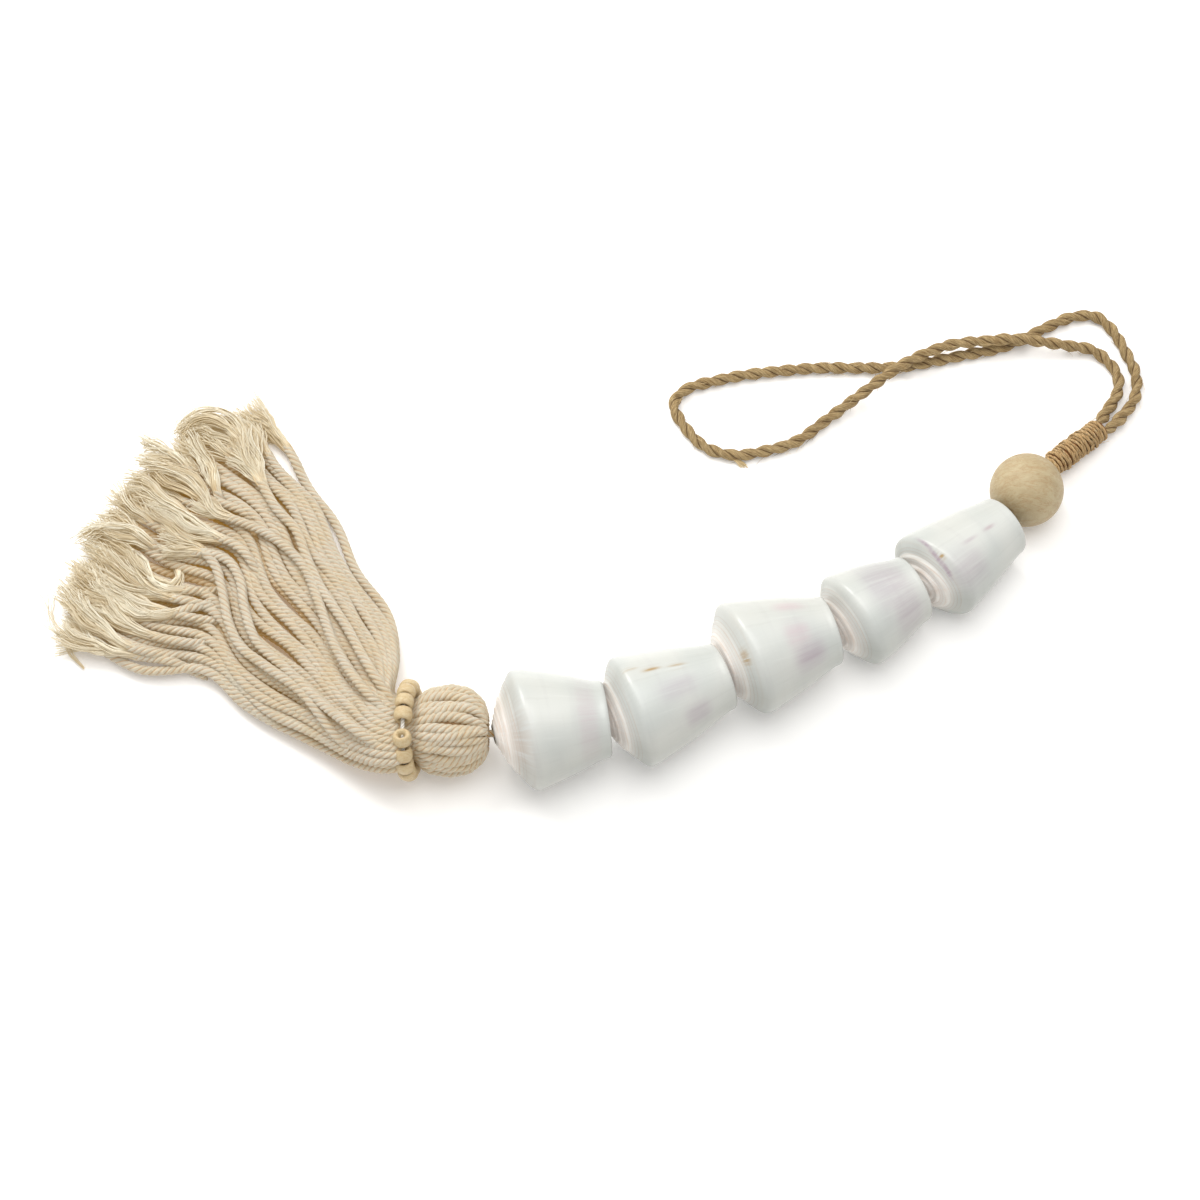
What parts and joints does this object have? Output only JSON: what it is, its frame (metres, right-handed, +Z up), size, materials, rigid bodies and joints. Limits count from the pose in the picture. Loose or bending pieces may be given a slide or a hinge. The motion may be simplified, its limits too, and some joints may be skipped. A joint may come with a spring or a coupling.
{
  "type": "shell tassel",
  "caption": "Drapery tie-back tassel: cotton rope tassel with a beaded neck, cone shells and a wood bead on one cord, and a loop of twisted rope to hang it by; laid out on a table.",
  "frame": {"origin": "under the middle of the box round all pieces but the rope loop, on the table", "axes": "+X from the tassel's frayed ends towards the wood bead, +Z up from the table"},
  "size_m": [0.4509, 0.2283, 0.0476],
  "materials": {
    "shell": "polished natural shell",
    "cotton": "twisted cotton rope, frayed at the ends",
    "seagrass": "two-ply twisted plant-fibre rope",
    "twine": "wound raffia twine",
    "bead_wood": "unfinished pale wood",
    "small_bead_wood": "unfinished tan wood",
    "string": "white cotton string"
  },
  "bodies": {
    "root": {"core_cord": "string", "neck_bead_01": "small_bead_wood", "neck_bead_02": "small_bead_wood", "neck_bead_03": "small_bead_wood", "neck_bead_04": "small_bead_wood", "neck_bead_05": "small_bead_wood", "neck_bead_06": "small_bead_wood", "neck_bead_07": "small_bead_wood", "neck_bead_08": "small_bead_wood", "neck_bead_09": "small_bead_wood", "neck_bead_10": "small_bead_wood", "neck_bead_11": "small_bead_wood", "neck_bead_12": "small_bead_wood", "neck_bead_13": "small_bead_wood", "neck_bead_14": "small_bead_wood", "neck_bead_15": "small_bead_wood", "neck_bead_16": "small_bead_wood", "neck_bead_17": "small_bead_wood", "neck_string": "string", "rope_loop": "seagrass", "shell_1": "shell", "shell_2": "shell", "shell_3": "shell", "shell_4": "shell", "shell_5": "shell", "tassel": "cotton", "whipping": "twine", "wood_bead": "bead_wood"}
  },
  "joints": []
}
